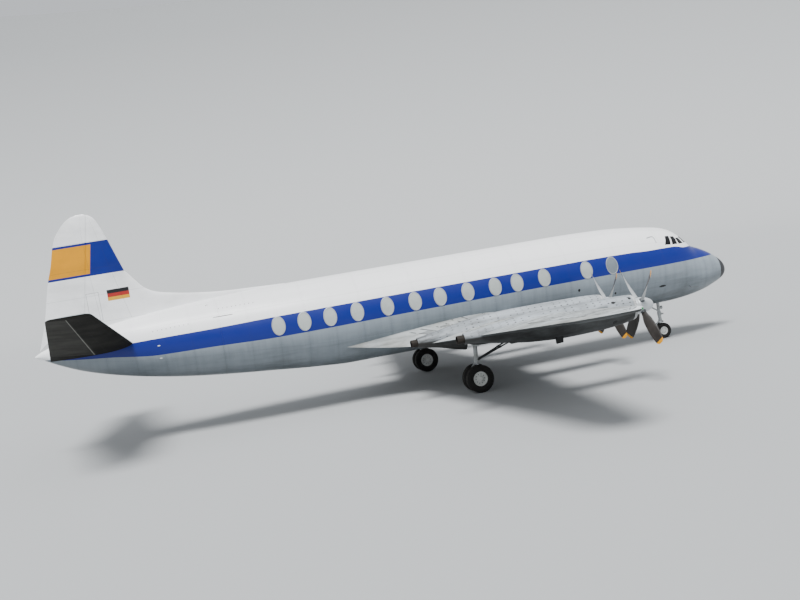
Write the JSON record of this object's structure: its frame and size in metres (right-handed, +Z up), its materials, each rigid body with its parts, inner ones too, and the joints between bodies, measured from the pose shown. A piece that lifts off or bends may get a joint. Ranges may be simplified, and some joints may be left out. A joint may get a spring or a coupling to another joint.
{
  "type": "four-engined turboprop narrow body airliner",
  "caption": "Low-wing turboprop airliner parked on twin-wheel tricycle gear, with turning propellers, wheels, steerable nose gear and moving control surfaces.",
  "frame": {"origin": "on the ground, at the middle of the bounding box's base: half way along the 26.11 m length, on the centre line", "axes": "+X forward towards the nose, +Y to port (left), +Z up from the ground on which the wheels stand"},
  "size_m": [26.11, 28.56, 8.15],
  "materials": {
    "body_paint": "gloss",
    "radome_black": "satin",
    "window_glass": "gloss",
    "wing_paint": "satin",
    "tail_paint": "matte",
    "engine_casting": "satin",
    "exhaust_steel": "satin",
    "propeller_paint": "satin",
    "gear_paint": "satin",
    "wheel_alloy": "satin",
    "tyre_rubber": "matte"
  },
  "bodies": {
    "airframe": {"fuselage": "body_paint", "tail_cone": "body_paint", "radome": "radome_black", "cockpit_glazing": "window_glass", "passenger_door_front": "body_paint", "passenger_door_rear": "body_paint", "wing_left": "wing_paint", "wing_right": "wing_paint", "flap_inner_left": "wing_paint", "flap_middle_left": "wing_paint", "flap_outer_left": "wing_paint", "flap_inner_right": "wing_paint", "flap_middle_right": "wing_paint", "flap_outer_right": "wing_paint", "fin": "body_paint", "tailplane_left": "tail_paint", "tailplane_right": "tail_paint", "nacelle_left_inner": "wing_paint", "nacelle_left_outer": "wing_paint", "nacelle_right_inner": "wing_paint", "nacelle_right_outer": "wing_paint", "engine_left_inner": "engine_casting", "engine_left_outer": "engine_casting", "engine_right_inner": "engine_casting", "engine_right_outer": "engine_casting", "jet_pipe_left_inner": "exhaust_steel", "jet_pipe_left_outer": "exhaust_steel", "jet_pipe_right_inner": "exhaust_steel", "jet_pipe_right_outer": "exhaust_steel", "main_leg_left": "gear_paint", "main_leg_right": "gear_paint", "main_door_left_left": "wing_paint", "main_door_left_right": "wing_paint", "main_door_right_left": "wing_paint", "main_door_right_right": "wing_paint", "nose_leg": "gear_paint", "nose_door_left": "body_paint", "nose_door_right": "body_paint"},
    "prop_left_inner": {"propeller_left_inner": "propeller_paint"},
    "prop_left_outer": {"propeller_left_outer": "propeller_paint"},
    "prop_right_inner": {"propeller_right_inner": "propeller_paint"},
    "prop_right_outer": {"propeller_right_outer": "propeller_paint"},
    "main_wheels_left": {"main_left_wheels": "wheel_alloy", "main_left_tyre_port": "tyre_rubber", "main_left_tyre_starboard": "tyre_rubber"},
    "main_wheels_right": {"main_right_wheels": "wheel_alloy", "main_right_tyre_port": "tyre_rubber", "main_right_tyre_starboard": "tyre_rubber"},
    "nose_steering": {"nose_fork": "gear_paint"},
    "nose_wheel_pair": {"nose_wheels": "wheel_alloy", "nose_tyre_port": "tyre_rubber", "nose_tyre_starboard": "tyre_rubber"},
    "rudder": {"rudder": "body_paint"},
    "elevator_left": {"elevator_left": "tail_paint"},
    "elevator_right": {"elevator_right": "tail_paint"},
    "aileron_left": {"aileron_left": "wing_paint"},
    "aileron_right": {"aileron_right": "wing_paint"}
  },
  "joints": [
    {"name": "prop_left_inner_spin", "type": "hinge", "parent": "airframe", "child": "prop_left_inner", "pos_m": [6.355, 3.63, 2.11], "axis": [1, 0, 0], "continuous": true},
    {"name": "prop_left_outer_spin", "type": "hinge", "parent": "airframe", "child": "prop_left_outer", "pos_m": [5.635, 7.6, 2.335], "axis": [1, 0, 0], "continuous": true},
    {"name": "prop_right_inner_spin", "type": "hinge", "parent": "airframe", "child": "prop_right_inner", "pos_m": [6.355, -3.63, 2.11], "axis": [1, 0, 0], "continuous": true},
    {"name": "prop_right_outer_spin", "type": "hinge", "parent": "airframe", "child": "prop_right_outer", "pos_m": [5.635, -7.6, 2.335], "axis": [1, 0, 0], "continuous": true},
    {"name": "main_left_roll", "type": "hinge", "parent": "airframe", "child": "main_wheels_left", "pos_m": [1.285, 3.63, 0.475], "axis": [0, 1, 0], "continuous": true},
    {"name": "main_right_roll", "type": "hinge", "parent": "airframe", "child": "main_wheels_right", "pos_m": [1.285, -3.63, 0.475], "axis": [0, 1, 0], "continuous": true},
    {"name": "nose_steer", "type": "hinge", "parent": "airframe", "child": "nose_steering", "pos_m": [10.025, 0, 0.3], "axis": [0, 0, 1], "range_deg": [-50, 50]},
    {"name": "nose_roll", "type": "hinge", "parent": "nose_steering", "child": "nose_wheel_pair", "pos_m": [10.025, 0, 0.3], "axis": [0, 1, 0], "continuous": true},
    {"name": "rudder_turn", "type": "hinge", "parent": "airframe", "child": "rudder", "pos_m": [-11.37313, 0, 4], "axis": [0.1835, 0, 0.983], "range_deg": [-20, 20]},
    {"name": "elevator_left_turn", "type": "hinge", "parent": "airframe", "child": "elevator_left", "pos_m": [-11.0416, 0.44, 3.43392], "axis": [-0.0364, 0.9653, 0.2586], "range_deg": [-15, 25]},
    {"name": "elevator_right_turn", "type": "hinge", "parent": "airframe", "child": "elevator_right", "pos_m": [-11.0416, -0.44, 3.43392], "axis": [0.0364, 0.9653, -0.2586], "range_deg": [-15, 25]},
    {"name": "aileron_left_turn", "type": "hinge", "parent": "airframe", "child": "aileron_left", "pos_m": [1.22532, 9.46, 2.56684], "axis": [0.0851, 0.9914, 0.0995], "range_deg": [-15, 15]},
    {"name": "aileron_right_turn", "type": "hinge", "parent": "airframe", "child": "aileron_right", "pos_m": [1.22532, -9.46, 2.56684], "axis": [-0.0851, 0.9914, -0.0995], "range_deg": [-15, 15]}
  ],
  "couplings": [
    {"joint": "elevator_right_turn", "follows": "elevator_left_turn", "ratio": 1},
    {"joint": "aileron_right_turn", "follows": "aileron_left_turn", "ratio": -1}
  ]
}
